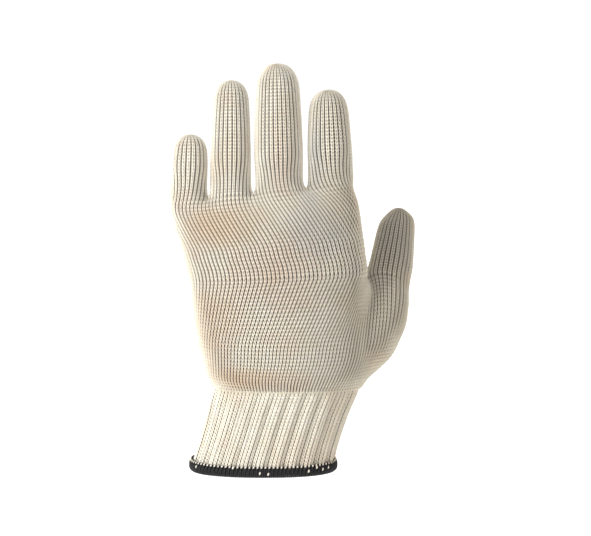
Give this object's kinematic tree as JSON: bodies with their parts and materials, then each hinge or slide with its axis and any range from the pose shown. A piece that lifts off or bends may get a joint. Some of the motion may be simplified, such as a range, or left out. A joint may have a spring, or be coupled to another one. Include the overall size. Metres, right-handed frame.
{
  "type": "cotton work glove",
  "caption": "Seamless knitted cotton work glove for a left hand, in its worn form, with a ribbed elastic cuff and an overlocked hem",
  "frame": {"origin": "centre of the cuff's mouth, in the plane of the hem's lower edge, where the wrist comes in", "axes": "+Z runs from the cuff's mouth to the fingertips, -Y is the back of the hand, +Y the palm side, +X the thumb side"},
  "size_m": [0.1356, 0.0803, 0.2205],
  "materials": {
    "cotton_knit": "unbleached cotton string, plain knit, matt, with dark gaps between its rows of stitches",
    "cotton_rib": "the same cotton knitted over elastic into upright ribs",
    "black_overlock": "black overlock thread round the edge, with white yarn showing through here and there"
  },
  "bodies": {
    "root": {"hem": "black_overlock", "cuff": "cotton_rib", "palm": "cotton_knit", "little_finger": "cotton_knit", "ring_finger": "cotton_knit", "middle_finger": "cotton_knit", "index_finger": "cotton_knit", "thumb": "cotton_knit"}
  },
  "joints": []
}
